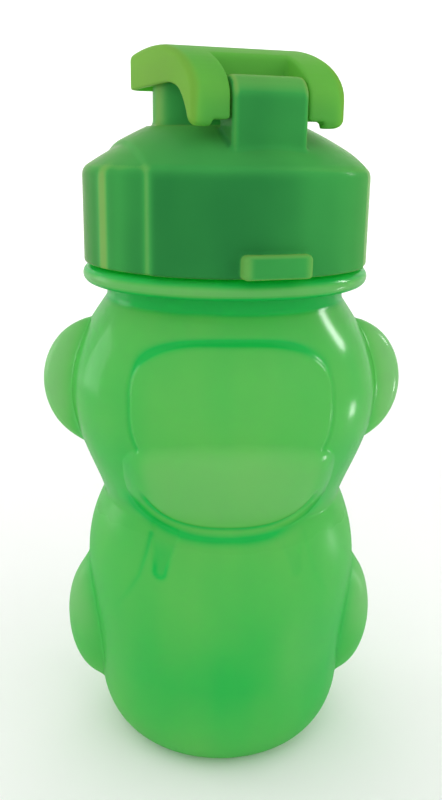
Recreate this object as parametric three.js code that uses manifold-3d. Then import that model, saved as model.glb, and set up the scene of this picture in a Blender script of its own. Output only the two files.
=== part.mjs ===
// Figural drink bottle: a blow-moulded animal figure with a screw cap and a flip lid.
// Millimetres, +Z up. The base stands on Z = 0 and the face looks along -Y.
import * as THREE from "three";
import { mergeVertices } from "three/addons/utils/BufferGeometryUtils.js";
import ManifoldModule from "manifold-3d";

const wasm = await ManifoldModule();
wasm.setup();

// Gaps between pieces that are seated and pieces that run past each other
const SEAT_GAP = 0.15;
const RUN_GAP = 0.4;

// Bottle: body below the waist crease, head above it
const WALL = 1.5;
const FOOT_RADIUS = 21.3;
const HIP_RADIUS = 30.7;
const HIP_HEIGHT = 14.8;
const BELLY_RADIUS = 33.3;
const BELLY_BELOW_WAIST = 18;
const WAIST_RADIUS = 29;
const BODY_LENGTH = 63.3;
const HEAD_RADIUS = 36.4;
const HEAD_ABOVE_WAIST = 25.9;
const HEAD_LENGTH = 47.9;

// Ears and arms: egg-shaped swellings that stand proud of the sides
const EAR_PROUD = 6.6;
const EAR_WIDTH = 26.6;
const EAR_DEPTH = 14.2;
const EAR_HEIGHT = 30.8;
const ARM_PROUD = 5.7;
const ARM_WIDTH = 19.6;
const ARM_DEPTH = 19.6;
const ARM_HEIGHT = 35.4;
const ARM_ABOVE_FOOT = 28.2;

// Face panel and muzzle, raised on the front
const FACE_WIDTH = 42.6;
const FACE_BELOW_COLLAR = 6.2;
const FACE_ABOVE_WAIST = 12;
const FACE_RISE = 0.9;
const MUZZLE_WIDTH = 48;
const MUZZLE_HEIGHT = 25;
const MUZZLE_ABOVE_WAIST = 11.7;
const MUZZLE_RISE = 3.8;

// Neck with its support bead and screw thread
const NECK_RADIUS = 27.4;
const NECK_WALL = 1.8;
const BEAD_PROUD = 5.4;
const BEAD_HEIGHT = 4;
const BEAD_ABOVE_COLLAR = 5.2;
const THREAD_PITCH = 4;
const THREAD_TURNS = 1.5;
const THREAD_DEPTH = 1.6;
const THREAD_FOOT = 1.5;
const THREAD_CREST = 0.7;
const THREAD_GAP = 0.9;

// Cap: round skirt and sloped shoulder. A raised band runs over it from front to back.
const CAP_TURN = THREE.MathUtils.degToRad(16);
const CAP_GAP = 0.6;
const CAP_SIDE_WALL = 3.3;
const CAP_TOP_WALL = 2.4;
const CAP_SKIRT = 21;
const CAP_SHOULDER = 8.5;
const CAP_TOP_RADIUS = 18;
const CAP_EDGE = 2;
const BAND_WIDTH = 48.6;
const GRIP_DEPTH = 0.75;
const LUG_WIDTH = 14.6;
const LUG_HEIGHT = 5;
const LUG_PROUD = 2.5;
const LUG_LEFT = 1.2;
const LUG_ROUND = 1.6;

// Gasket between the bottle's rim and the cap's seat
const GASKET_THICKNESS = 2;
const GASKET_WIDTH = 3;
const SEAT_BELOW_RIM = 1.6;

// Drinking spout, moulded on the cap behind its middle
const SPOUT_RADIUS = 14.3;
const SPOUT_WALL = 1.8;
const SPOUT_RISE = 10;
const SPOUT_BACK = 9;

// Hinge block at the front of the cap, and its pin
const BLOCK_WIDTH = 16;
const KNUCKLE_RADIUS = 4.5;
const PIN_BEHIND_FRONT = 11.2;
const PIN_RISE = 5;
const PIN_RADIUS = 1.5;
const PIN_IN_ARM = 5;

// Flip lid: a hollow bar over the spout that bends down in front to two hinge arms
const LID_WALL = 1.5;
const LID_TOP_WALL = 2.4;
const LID_SIDE_GAP = 0.7;
const LID_OVERLAP = 1.4;
const LID_HEADROOM = 6.4;
const LID_CROWN = 0.8;
const LID_NOSE = 3.8;
const LID_ROUND = 2.2;
const LID_CORNER = 4;
const LIP_FLARE = 0.9;
const WINDOW_ROOM = 3.5;
const WINDOW_WALL = 2;
const LEG_WIDTH = 5.5;
const LEG_DROP = 5.5;
const ARM_FLOOR = 2.4;

// Seal carried by the lid: a flange over the spout's lip, a plug in it and a stem in the lid
const SEAL_DEPTH = 2;
const SEAL_FLANGE = 1.3;
const SEAL_STEM_RADIUS = 3;
const SEAL_STEM = 2.4;
const SEAL_SIDE_GAP = 0.7;

// Places that follow from these sizes
const COLLAR_Z = BODY_LENGTH + HEAD_LENGTH;
const BEAD_Z = COLLAR_Z + BEAD_ABOVE_COLLAR;
const CAP_BOTTOM = BEAD_Z + BEAD_HEIGHT / 2 + CAP_GAP;
const CAP_RIM = CAP_BOTTOM + CAP_SKIRT;
const CAP_TOP = CAP_RIM + CAP_SHOULDER;
const CAP_SEAT = CAP_RIM - SEAT_BELOW_RIM;
const CAP_BORE = NECK_RADIUS + THREAD_DEPTH + THREAD_GAP;
const CAP_RADIUS = CAP_BORE + CAP_SIDE_WALL;
const PIN_FRONT = CAP_RADIUS - PIN_BEHIND_FRONT;
const GASKET_BOTTOM = CAP_SEAT - SEAT_GAP - GASKET_THICKNESS;
const NECK_TOP = GASKET_BOTTOM - SEAT_GAP;
const NECK_THREAD_START = NECK_TOP - THREAD_PITCH * (THREAD_TURNS + 0.75) - THREAD_FOOT;
const CAP_THREAD_START = NECK_THREAD_START - THREAD_PITCH / 2;
const SPOUT_TOP = CAP_TOP + SPOUT_RISE;
const PIN_Z = CAP_TOP + PIN_RISE;
const PIN_LENGTH = BLOCK_WIDTH + 2 * (RUN_GAP + PIN_IN_ARM);
const LID_WIDTH = 2 * (SPOUT_RADIUS + LID_SIDE_GAP + LID_WALL);
const LID_ROOM_BACK = SPOUT_BACK + SPOUT_RADIUS + LID_SIDE_GAP;
const LID_BACK = LID_ROOM_BACK + LID_WALL + LIP_FLARE;
const LID_FRONT = -PIN_FRONT - LID_NOSE;
const LID_BOTTOM = SPOUT_TOP - LID_OVERLAP;
const LID_TOP = SPOUT_TOP + LID_HEADROOM;
const SEAL_RADIUS = SPOUT_RADIUS - SPOUT_WALL - SEAL_SIDE_GAP;
const SEAL_TOP = SPOUT_TOP + SEAT_GAP + SEAL_FLANGE;

// Closed meshes become solids that can be joined and cut
function solid(geometry) {
  const shape = geometry.clone();
  shape.deleteAttribute("normal");
  shape.deleteAttribute("uv");
  const merged = mergeVertices(shape, 1e-4);
  const mesh = new wasm.Mesh({
    numProp: 3,
    vertProperties: new Float32Array(merged.attributes.position.array),
    triVerts: new Uint32Array(merged.index.array),
  });
  return new wasm.Manifold(mesh);
}

function join(first, ...others) {
  return others.reduce((whole, shape) => whole.add(shape), first);
}

function meshGeometry(points, faces) {
  const geometry = new THREE.BufferGeometry();
  geometry.setAttribute("position", new THREE.Float32BufferAttribute(points, 3));
  geometry.setIndex(faces);
  return geometry;
}

// A turned shape about +Z from a path of (radius, height), its axis moved back from the middle
function turned(path, segments, steps, back = 0) {
  const geometry = new THREE.LatheGeometry(path.getPoints(steps), segments).rotateX(Math.PI / 2);
  return solid(geometry.translate(0, back, 0));
}

// A round bar along +Z, its axis moved back from the middle
function bar(radius, bottom, top, segments, back = 0) {
  const geometry = new THREE.CylinderGeometry(radius, radius, top - bottom, segments);
  return solid(geometry.rotateX(Math.PI / 2).translate(0, back, (bottom + top) / 2));
}

// A box between two distances back and two heights, centred across the cap
function block(width, front, back, bottom, top) {
  const geometry = new THREE.BoxGeometry(width, back - front, top - bottom);
  return solid(geometry.translate(0, (front + back) / 2, (bottom + top) / 2));
}

// A side view in (back, height), drawn out across the cap
function acrossCap(shape, width) {
  const geometry = new THREE.ExtrudeGeometry(shape, { depth: width, bevelEnabled: false, curveSegments: 8 });
  return solid(geometry.translate(0, 0, -width / 2).rotateX(Math.PI / 2).rotateZ(Math.PI / 2));
}

// A front view in (across, height), drawn out towards the back
function alongCap(shape, front, back) {
  const geometry = new THREE.ExtrudeGeometry(shape, { depth: back - front, bevelEnabled: false, curveSegments: 4 });
  return solid(geometry.rotateX(Math.PI / 2).translate(0, back, 0));
}

function roundedRectangle(left, right, bottom, top, round) {
  const quarter = Math.PI / 2;
  const shape = new THREE.Shape();
  shape.absarc(right - round, bottom + round, round, -quarter, 0, false);
  shape.absarc(right - round, top - round, round, 0, quarter, false);
  shape.absarc(left + round, top - round, round, quarter, 2 * quarter, false);
  shape.absarc(left + round, bottom + round, round, 2 * quarter, 3 * quarter, false);
  return shape;
}

// Half outline of the figure from the middle of its foot to the collar, moved in by inset
function figureOutline(inset) {
  const waist = BODY_LENGTH;
  const belly = waist - BELLY_BELOW_WAIST;
  const head = waist + HEAD_ABOVE_WAIST;
  const hipLean = (BELLY_RADIUS - HIP_RADIUS) / 5;
  const hipRound = HIP_HEIGHT * 0.64;
  const hip = HIP_HEIGHT + inset;
  const collar = inset > 0 ? NECK_RADIUS - NECK_WALL : NECK_RADIUS;
  const outline = new THREE.Path();
  const curve = (r1, z1, r2, z2, r, z) => outline.bezierCurveTo(r1 - inset, z1, r2 - inset, z2, r - inset, z);
  outline.moveTo(0, inset);
  outline.lineTo(FOOT_RADIUS - inset, inset);
  curve(FOOT_RADIUS + 3.7, inset, HIP_RADIUS - hipLean, hip - hipRound, HIP_RADIUS, hip);
  curve(HIP_RADIUS + hipLean, hip + hipRound, BELLY_RADIUS, belly - 9, BELLY_RADIUS, belly);
  curve(BELLY_RADIUS, belly + BELLY_BELOW_WAIST / 2, WAIST_RADIUS + 1.4, waist - 2.2, WAIST_RADIUS, waist);
  curve(WAIST_RADIUS + 0.2, waist + 4.7, HEAD_RADIUS, head - HEAD_ABOVE_WAIST * 0.4, HEAD_RADIUS, head);
  outline.bezierCurveTo(
    HEAD_RADIUS - inset,
    head + (COLLAR_Z - head) * 0.47,
    collar + 3.3,
    COLLAR_Z - 5 - inset / 2,
    collar,
    COLLAR_Z - inset / 2,
  );
  return outline;
}

// Radius of the figure at a height, for what is raised on its surface
const outlinePoints = figureOutline(0).getPoints(24);
function figureRadius(z) {
  const above = outlinePoints.findIndex((point, i) => i > 1 && point.y >= z);
  const [a, b] = outlinePoints.slice(above - 1, above + 1);
  return THREE.MathUtils.mapLinear(z, a.y, b.y, a.x, b.x);
}

// A pad raised on the front of the figure. Seen from the front its rim is a squared ellipse.
function frontPad({ width, bottom, top, rise, squareness, flatness }) {
  const RINGS = 5;
  const SPOKES = 36;
  const ROOT = 2.5;
  const points = [];
  const faces = [];
  const addPoint = (share, spoke, height) => {
    const angle = (2 * Math.PI * spoke) / SPOKES;
    const c = Math.cos(angle);
    const s = Math.sin(angle);
    const reach = (Math.abs(c) ** squareness + Math.abs(s) ** squareness) ** (-1 / squareness);
    const x = (width / 2) * c * reach * share;
    const z = (bottom + top) / 2 + ((top - bottom) / 2) * s * reach * share;
    const radius = figureRadius(z);
    const scale = (radius + height) / radius;
    points.push(x * scale, -Math.sqrt(radius ** 2 - x ** 2) * scale, z);
  };
  for (const isTop of [true, false]) {
    addPoint(0, 0, isTop ? rise : -ROOT);
    for (let ring = 1; ring <= RINGS; ring++) {
      const share = Math.sin((Math.PI / 2) * (ring / RINGS));
      for (let spoke = 0; spoke < SPOKES; spoke++) {
        addPoint(share, spoke, isTop ? rise * (1 - share ** flatness) : -ROOT);
      }
    }
  }
  const layer = 1 + RINGS * SPOKES;
  const vertex = (start, ring, spoke) => start + 1 + (ring - 1) * SPOKES + (spoke % SPOKES);
  for (let spoke = 0; spoke < SPOKES; spoke++) {
    faces.push(0, vertex(0, 1, spoke), vertex(0, 1, spoke + 1));
    faces.push(layer, vertex(layer, 1, spoke + 1), vertex(layer, 1, spoke));
    for (let ring = 1; ring < RINGS; ring++) {
      for (const start of [0, layer]) {
        const a = vertex(start, ring, spoke);
        const b = vertex(start, ring + 1, spoke);
        const c = vertex(start, ring + 1, spoke + 1);
        const d = vertex(start, ring, spoke + 1);
        if (start === 0) faces.push(a, b, c, a, c, d);
        else faces.push(a, c, b, a, d, c);
      }
    }
    const a = vertex(0, RINGS, spoke);
    const b = vertex(layer, RINGS, spoke);
    const c = vertex(layer, RINGS, spoke + 1);
    const d = vertex(0, RINGS, spoke + 1);
    faces.push(a, b, c, a, c, d);
  }
  return solid(meshGeometry(points, faces));
}

// Ears and arms on both sides, made smaller by inset for the hollow inside them
function swellings(inset) {
  const egg = (side, reach, width, depth, height, z) => {
    const geometry = new THREE.SphereGeometry(1, inset > 0 ? 10 : 18, inset > 0 ? 8 : 14).rotateX(Math.PI / 2);
    geometry.scale(width / 2 - inset, depth / 2 - inset, height / 2 - inset);
    return solid(geometry.translate(side * (reach - width / 2), 0, z));
  };
  const earZ = BODY_LENGTH + HEAD_ABOVE_WAIST + 0.8;
  const pairs = [-1, 1].map((side) =>
    join(
      egg(side, HEAD_RADIUS + EAR_PROUD, EAR_WIDTH, EAR_DEPTH, EAR_HEIGHT, earZ),
      egg(side, BELLY_RADIUS + ARM_PROUD, ARM_WIDTH, ARM_DEPTH, ARM_HEIGHT, ARM_ABOVE_FOOT),
    ),
  );
  return join(...pairs);
}

// A right-handed screw ridge. out is 1 for a ridge on a neck and -1 for one in a bore.
function threadRidge(rootRadius, out, startZ) {
  const STEPS = Math.round(36 * THREAD_TURNS);
  const FADE_STEPS = 4;
  const BURIED = 0.5;
  const points = [];
  const faces = [];
  for (let i = 0; i <= STEPS; i++) {
    const angle = (2 * Math.PI * THREAD_TURNS * i) / STEPS;
    const z = startZ + (THREAD_PITCH * THREAD_TURNS * i) / STEPS;
    const full = Math.min(1, (i + 0.4) / FADE_STEPS, (STEPS - i + 0.4) / FADE_STEPS);
    const crest = rootRadius + out * THREAD_DEPTH * full;
    const root = rootRadius - out * BURIED;
    const section = [
      [root, -THREAD_FOOT / 2],
      [crest, -THREAD_CREST / 2],
      [crest, THREAD_CREST / 2],
      [root, THREAD_FOOT / 2],
    ];
    for (const [r, lift] of section) points.push(r * Math.cos(angle), r * Math.sin(angle), z + lift);
  }
  const quad = (a, b, c, d) => faces.push(...(out > 0 ? [a, b, c, a, c, d] : [a, c, b, a, d, c]));
  for (let i = 0; i < STEPS; i++) {
    for (let k = 0; k < 4; k++) {
      const next = (k + 1) % 4;
      quad(4 * i + k, 4 * i + 4 + k, 4 * i + 4 + next, 4 * i + next);
    }
  }
  const last = 4 * STEPS;
  quad(0, 1, 2, 3);
  quad(last + 3, last + 2, last + 1, last);
  return solid(meshGeometry(points, faces));
}

// The bottle: one thin wall round the figure, with a threaded neck and a support bead
function makeBottle() {
  const figure = figureOutline(0);
  figure.lineTo(NECK_RADIUS, NECK_TOP);
  figure.lineTo(0, NECK_TOP);

  const hollow = figureOutline(WALL);
  hollow.lineTo(NECK_RADIUS - NECK_WALL, NECK_TOP + 1);
  hollow.lineTo(0, NECK_TOP + 1);

  const bead = new THREE.Path();
  const half = BEAD_HEIGHT / 2;
  const swell = Math.min(half, BEAD_PROUD);
  const beadRoot = NECK_RADIUS - NECK_WALL / 2;
  const beadMiddle = NECK_RADIUS + BEAD_PROUD - swell;
  bead.moveTo(beadRoot, BEAD_Z - half);
  bead.lineTo(beadMiddle, BEAD_Z - half);
  bead.absellipse(beadMiddle, BEAD_Z, swell, half, -Math.PI / 2, Math.PI / 2, false);
  bead.lineTo(beadRoot, BEAD_Z + half);
  bead.lineTo(beadRoot, BEAD_Z - half);

  const muzzleMiddle = BODY_LENGTH + MUZZLE_ABOVE_WAIST;
  const face = frontPad({
    width: FACE_WIDTH,
    bottom: BODY_LENGTH + FACE_ABOVE_WAIST,
    top: COLLAR_Z - FACE_BELOW_COLLAR,
    rise: FACE_RISE,
    squareness: 4.5,
    flatness: 14,
  });
  const muzzle = frontPad({
    width: MUZZLE_WIDTH,
    bottom: muzzleMiddle - MUZZLE_HEIGHT / 2,
    top: muzzleMiddle + MUZZLE_HEIGHT / 2,
    rise: MUZZLE_RISE,
    squareness: 2.4,
    flatness: 3.5,
  });
  const outside = join(turned(figure, 48, 4), turned(bead, 48, 2), swellings(0), face, muzzle);
  const inside = join(turned(hollow, 32, 3), swellings(WALL));
  return outside.add(threadRidge(NECK_RADIUS, 1, NECK_THREAD_START)).subtract(inside);
}

// Half outline of the cap's outside, moved in by inset
function capOutline(inset) {
  const CHAMFER = 0.6;
  const radius = CAP_RADIUS - inset;
  const top = CAP_TOP - inset;
  const outline = new THREE.Path();
  outline.moveTo(0, CAP_BOTTOM);
  outline.lineTo(radius - CHAMFER, CAP_BOTTOM);
  outline.lineTo(radius, CAP_BOTTOM + CHAMFER);
  outline.lineTo(radius, CAP_RIM - CAP_EDGE);
  outline.quadraticCurveTo(radius, CAP_RIM, radius - CAP_EDGE, CAP_RIM + CAP_EDGE * 0.6 - inset * 0.4);
  outline.quadraticCurveTo(CAP_TOP_RADIUS + 6, top - 2.7, CAP_TOP_RADIUS - inset, top);
  outline.lineTo(0, top);
  return outline;
}

// The space under the cap: threaded bore, gasket seat and the hollow of the shoulder
function capHollow() {
  const seatInner = NECK_RADIUS - GASKET_WIDTH - SEAT_GAP;
  const ceiling = CAP_TOP - CAP_TOP_WALL;
  const outline = new THREE.Path();
  outline.moveTo(0, CAP_BOTTOM - 1);
  outline.lineTo(CAP_BORE, CAP_BOTTOM - 1);
  outline.lineTo(CAP_BORE, CAP_SEAT);
  outline.lineTo(seatInner, CAP_SEAT);
  outline.lineTo(seatInner, CAP_SEAT + 1.2);
  outline.lineTo(CAP_TOP_RADIUS - 2, ceiling);
  outline.lineTo(0, ceiling);
  return turned(outline, 36, 1);
}

// A round bar along the hinge axis
function hingeBar(radius, length) {
  const geometry = new THREE.CylinderGeometry(radius, radius, length, 20).rotateZ(Math.PI / 2);
  return solid(geometry.translate(0, -PIN_FRONT, PIN_Z));
}

// The cap: skirt, shoulder, raised band, catch lug, hinge block and spout in one moulding
function makeCap() {
  const bandRoom = block(BAND_WIDTH, -2 * CAP_RADIUS, 2 * CAP_RADIUS, CAP_BOTTOM - 1, CAP_TOP + 1);
  const band = turned(capOutline(0), 48, 4).intersect(bandRoom);
  const sides = turned(capOutline(GRIP_DEPTH), 48, 4);

  const lugShape = roundedRectangle(
    -LUG_LEFT - LUG_WIDTH / 2,
    -LUG_LEFT + LUG_WIDTH / 2,
    CAP_BOTTOM,
    CAP_BOTTOM + LUG_HEIGHT,
    LUG_ROUND,
  );
  const lug = alongCap(lugShape, -CAP_RADIUS - LUG_PROUD, -CAP_BORE + 0.5);

  const blockBottom = CAP_RIM + 1;
  const hinge = new THREE.Shape();
  hinge.moveTo(-PIN_FRONT + KNUCKLE_RADIUS, blockBottom);
  hinge.lineTo(-PIN_FRONT + KNUCKLE_RADIUS, PIN_Z);
  hinge.absarc(-PIN_FRONT, PIN_Z, KNUCKLE_RADIUS, 0, Math.PI, false);
  hinge.lineTo(-PIN_FRONT - KNUCKLE_RADIUS, blockBottom);

  const spout = bar(SPOUT_RADIUS, CAP_TOP - 2 * CAP_TOP_WALL, SPOUT_TOP, 40, SPOUT_BACK);
  const mouth = bar(SPOUT_RADIUS - SPOUT_WALL, CAP_RIM, SPOUT_TOP + 1, 36, SPOUT_BACK);
  const pinHole = hingeBar(PIN_RADIUS + SEAT_GAP, BLOCK_WIDTH + 2);
  return join(band, sides, lug, spout, acrossCap(hinge, BLOCK_WIDTH))
    .subtract(join(capHollow(), mouth, pinHole))
    .add(threadRidge(CAP_BORE, -1, CAP_THREAD_START));
}

// Side view of the lid
function lidSide() {
  const NOSE_ROUND = 2;
  const BEND_START = -3;
  const nose = PIN_Z - LEG_DROP;
  const back = LID_BACK - LIP_FLARE;
  const shape = new THREE.Shape();
  shape.moveTo(LID_BACK, LID_BOTTOM);
  shape.quadraticCurveTo(back, LID_BOTTOM + 3.5, back, LID_TOP - 1.6);
  shape.quadraticCurveTo(back, LID_TOP, back - 2.5, LID_TOP + LID_CROWN / 3);
  shape.quadraticCurveTo(SPOUT_BACK, LID_TOP + 1.5 * LID_CROWN, BEND_START, LID_TOP);
  shape.bezierCurveTo(-12, LID_TOP - 1.2, LID_FRONT, LID_TOP - 5, LID_FRONT, PIN_Z);
  shape.absarc(LID_FRONT + NOSE_ROUND, nose + NOSE_ROUND, NOSE_ROUND, Math.PI, 1.5 * Math.PI, false);
  shape.lineTo(LID_FRONT + 3.4, nose);
  shape.bezierCurveTo(LID_FRONT + 5.2, nose + 4, -16, LID_BOTTOM, 2 * BEND_START, LID_BOTTOM);
  return shape;
}

// The lid: the side view rounded along its edges, hollowed over the spout and cut for the hinge
function makeLid() {
  const half = LID_WIDTH / 2;
  const crownZ = LID_TOP + LID_CROWN;
  const endView = roundedRectangle(-half, half, CAP_BOTTOM, crownZ, LID_ROUND);
  const rounded = alongCap(endView, LID_FRONT - 1, LID_BACK + 1);
  const topView = roundedRectangle(-half, half, 2 * LID_FRONT, LID_BACK, LID_CORNER);
  const plan = new THREE.ExtrudeGeometry(topView, { depth: 60, bevelEnabled: false, curveSegments: 5 });
  plan.translate(0, 0, CAP_RIM);

  const ceiling = LID_TOP - LID_TOP_WALL;
  const windowBack = -PIN_FRONT + KNUCKLE_RADIUS + RUN_GAP + WINDOW_ROOM;
  const underPin = PIN_Z - PIN_RADIUS - RUN_GAP - ARM_FLOOR;
  const room = block(LID_WIDTH - 2 * LID_WALL, windowBack + WINDOW_WALL, LID_ROOM_BACK, CAP_TOP, ceiling);
  const hingeWindow = block(BLOCK_WIDTH + 2 * RUN_GAP, 2 * LID_FRONT, windowBack, CAP_RIM, crownZ + 1);
  const betweenLegs = block(LID_WIDTH - 2 * LEG_WIDTH, 2 * LID_FRONT, windowBack, CAP_RIM, underPin);
  const boss = bar(SEAL_RADIUS - 1, SEAL_TOP + SEAT_GAP, ceiling + 1, 32, SPOUT_BACK);
  const socket = bar(SEAL_STEM_RADIUS + SEAT_GAP, SEAL_TOP, SEAL_TOP + SEAL_STEM + SEAT_GAP, 20, SPOUT_BACK);
  const pinHoles = hingeBar(PIN_RADIUS + RUN_GAP, PIN_LENGTH + 2 * SEAT_GAP);
  return acrossCap(lidSide(), LID_WIDTH)
    .intersect(rounded)
    .intersect(solid(plan))
    .subtract(room)
    .add(boss)
    .subtract(join(socket, hingeWindow, betweenLegs, pinHoles));
}

function makeSeal() {
  const BEVEL = 0.8;
  const LIP = 0.4;
  const plugBottom = SPOUT_TOP - SEAL_DEPTH;
  const outline = new THREE.Path();
  outline.moveTo(0, plugBottom);
  outline.lineTo(SEAL_RADIUS - BEVEL, plugBottom);
  outline.lineTo(SEAL_RADIUS, plugBottom + BEVEL);
  outline.lineTo(SEAL_RADIUS, SPOUT_TOP + SEAT_GAP);
  outline.lineTo(SPOUT_RADIUS - LIP, SPOUT_TOP + SEAT_GAP);
  outline.lineTo(SPOUT_RADIUS - LIP, SEAL_TOP);
  outline.lineTo(SEAL_STEM_RADIUS, SEAL_TOP);
  outline.lineTo(SEAL_STEM_RADIUS, SEAL_TOP + SEAL_STEM);
  outline.lineTo(0, SEAL_TOP + SEAL_STEM);
  return turned(outline, 40, 1, SPOUT_BACK);
}

function makeGasket() {
  const ring = bar(NECK_RADIUS, GASKET_BOTTOM, GASKET_BOTTOM + GASKET_THICKNESS, 48);
  return ring.subtract(bar(NECK_RADIUS - GASKET_WIDTH, GASKET_BOTTOM - 1, CAP_SEAT, 48));
}

const bottlePlastic = new THREE.MeshStandardMaterial({ color: 0x55bb55, roughness: 0.3, metalness: 0 });
const capPlastic = new THREE.MeshStandardMaterial({ color: 0x2f8a45, roughness: 0.25, metalness: 0 });
const lidPlastic = new THREE.MeshStandardMaterial({ color: 0x6cb344, roughness: 0.3, metalness: 0 });
const silicone = new THREE.MeshStandardMaterial({ color: 0xe8ebe6, roughness: 0.6, metalness: 0 });
const pinPlastic = new THREE.MeshStandardMaterial({ color: 0x5aa83c, roughness: 0.35, metalness: 0 });

function piece(name, shape, material) {
  const { vertProperties, triVerts } = shape.getMesh();
  const mesh = new THREE.Mesh(meshGeometry(Array.from(vertProperties), Array.from(triVerts)), material);
  mesh.geometry.computeVertexNormals();
  mesh.name = name;
  return mesh;
}

const figuralBottle = new THREE.Group();
figuralBottle.add(piece("bottle_body", makeBottle(), bottlePlastic));
figuralBottle.add(piece("cap_gasket", makeGasket(), silicone));

// The screwed-down cap stops a little past the figure's front, and takes the lid with it
const capGroup = new THREE.Group();
capGroup.rotation.z = CAP_TURN;
capGroup.add(piece("screw_cap", makeCap(), capPlastic));
capGroup.add(piece("hinge_pin", hingeBar(PIN_RADIUS, PIN_LENGTH), pinPlastic));
capGroup.add(piece("flip_lid", makeLid(), lidPlastic));
capGroup.add(piece("lid_seal", makeSeal(), silicone));
figuralBottle.add(capGroup);

export default figuralBottle;
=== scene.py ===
import math

import bmesh
import bpy
import numpy as np
from mathutils import Matrix, Vector


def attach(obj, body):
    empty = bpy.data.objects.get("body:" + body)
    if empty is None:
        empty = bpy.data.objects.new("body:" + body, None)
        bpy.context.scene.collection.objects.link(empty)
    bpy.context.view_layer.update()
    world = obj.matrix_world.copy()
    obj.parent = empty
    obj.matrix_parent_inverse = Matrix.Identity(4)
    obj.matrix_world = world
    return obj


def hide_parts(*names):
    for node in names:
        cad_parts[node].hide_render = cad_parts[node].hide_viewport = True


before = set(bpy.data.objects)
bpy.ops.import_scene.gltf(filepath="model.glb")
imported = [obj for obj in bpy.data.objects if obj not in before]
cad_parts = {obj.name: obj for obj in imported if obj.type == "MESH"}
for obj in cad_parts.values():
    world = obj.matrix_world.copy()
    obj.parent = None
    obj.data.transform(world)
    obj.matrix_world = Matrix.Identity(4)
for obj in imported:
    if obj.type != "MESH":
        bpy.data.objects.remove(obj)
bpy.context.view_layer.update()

# Bottle body: a hollow animal figure, blow-moulded in one piece from bright green polyethylene.
# The two halves of the mould leave a fine seam down its sides, and the neck carries a support
# bead and a screw thread. Sizes are in millimetres, and the meshes are scaled to metres.
MM = 0.001
WALL = 1.5
FOOT_RADIUS = 21.3
HIP = (30.7, 14.8)
BELLY = (33.3, 45.3)
WAIST = (29, 63.3)
HEAD = (36.4, 89.2)
COLLAR = (27.4, 111.2)
NECK_RADIUS = 27.4
NECK_BORE = 25.6
NECK_TOP = 136.1
BEAD = (32.8, 116.4)
BEAD_HALF = 2
BASE_RISE = 1.8
EAR = (29.7, 90)
EAR_HALF = (13.3, 7.1, 15.4)
EAR_FILLET = 3.4
ARM = (29.2, 28.2)
ARM_HALF = (9.8, 9.8, 17.7)
ARM_FILLET = 2.6
FACE_HEIGHT = 92.5
FACE_HALF = 21.6
FACE_BELOW = 17
FACE_ABOVE = 13.3
FACE_SPAN = 15
FACE_RISE = 0.45
FACE_CREASE = 0.45
MUZZLE_HEIGHT = 78
MUZZLE_HALF = 23.2
MUZZLE_BELOW = 16.6
MUZZLE_ABOVE = 8
MUZZLE_SPAN = 17
MUZZLE_RISE = 3.8
SMILE_DEPTH = 0.5
DENT = [(13.8, 63), (15.3, 53.4)]
FOLD = [(17.3, 61), (18.3, 57), (20, 51.5), (22.6, 46.6), (26.4, 40)]
SEAM_HEIGHT = 0.1
SEAM_HALF = 0.22
THREAD_PITCH = 4
THREAD_TURNS = 1.5
THREAD_DEPTH = 1.6
THREAD_HALF = 0.75
THREAD_FLANK = 0.4
THREAD_RUNOUT = 0.11
NECK_THREAD_START = 125.6


def curve(points, count=60):
    """Points along a cubic curve with four control points."""
    t = np.linspace(0, 1, count)[:, None]
    a, b, c, d = np.array(points, float)
    return a * (1 - t) ** 3 + 3 * b * t * (1 - t) ** 2 + 3 * c * t**2 * (1 - t) + d * t**3


def arc(middle, radius, start, end, count=24):
    """Points along part of a circle, with its angles in degrees."""
    turn = np.radians(np.linspace(start, end, count))
    return np.stack([middle[0] + radius * np.cos(turn), middle[1] + radius * np.sin(turn)], axis=1)


def softened(path, reach, spacing):
    """The path with its corners rounded over about reach, as points that lie spacing(point) apart."""
    fine = 0.05
    length = np.r_[0, np.cumsum(np.hypot(*np.diff(path, axis=0).T))]
    at = np.linspace(0, length[-1], int(length[-1] / fine) + 1)
    even = np.stack([np.interp(at, length, path[:, i]) for i in (0, 1)], axis=1)
    window = np.hanning(2 * int(reach / fine) + 1)
    pad = len(window) // 2
    padded = np.vstack([2 * even[0] - even[pad:0:-1], even, 2 * even[-1] - even[-2 : -pad - 2 : -1]])
    smooth = np.stack([np.convolve(padded[:, i], window / window.sum(), "valid") for i in (0, 1)], axis=1)
    step = np.cumsum(fine / np.array([spacing(point) for point in smooth]))
    rows = np.interp(np.linspace(step[0], step[-1], int(step[-1])), step, np.arange(len(step)))
    return np.stack([np.interp(rows, np.arange(len(smooth)), smooth[:, i]) for i in (0, 1)], axis=1)


def smooth_max(a, b, reach):
    """The larger of two values, with the corner between them filled over reach."""
    h = np.clip(1 - np.abs(a - b) / reach, 0, 1)
    return np.maximum(a, b) + h * h * reach / 4


def ramp(value, start, end):
    """0 before start, 1 after end and a smooth rise between them."""
    t = np.clip((value - start) / (end - start), 0, 1)
    return t * t * (3 - 2 * t)


def egg_reach(across, ahead, z, middle, half):
    """How far out from the bottle's axis an egg on its side reaches, in each direction."""
    a = (across / half[0]) ** 2 + (ahead / half[1]) ** 2
    b = -2 * np.abs(across) * middle[0] / half[0] ** 2
    c = (middle[0] / half[0]) ** 2 + ((z - middle[1]) / half[2]) ** 2 - 1
    inner = b * b - 4 * a * c
    reach = (-b + np.sign(inner) * np.sqrt(np.abs(inner))) / (2 * a)
    return np.where(reach > 0, reach, 0)


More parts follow.
